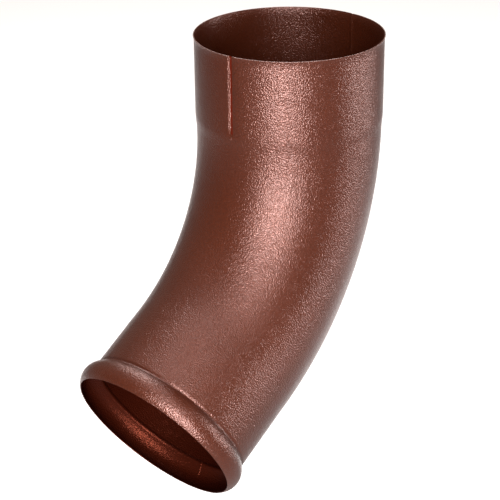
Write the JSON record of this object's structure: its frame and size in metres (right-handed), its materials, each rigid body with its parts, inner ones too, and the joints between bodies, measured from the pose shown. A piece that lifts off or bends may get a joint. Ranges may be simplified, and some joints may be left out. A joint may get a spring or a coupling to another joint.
{
  "type": "downspout elbow",
  "caption": "Round sheet steel elbow for a 100 mm rainwater downpipe: a socket takes the pipe above, and a 60 degree bend throws the water clear of the wall through a beaded mouth.",
  "frame": {"origin": "on the socket's axis, where its straight bore starts, 1.5 mm under the edge of the flared lip", "axes": "+Z out of the socket along its axis, -Y the way that the mouth points from the wall, X across the bend"},
  "size_m": [0.102, 0.1891, 0.2365],
  "materials": {
    "painted_steel": "matt textured copper-brown paint, baked on steel sheet"
  },
  "bodies": {
    "root": {"elbow_shell": "painted_steel"}
  },
  "joints": []
}
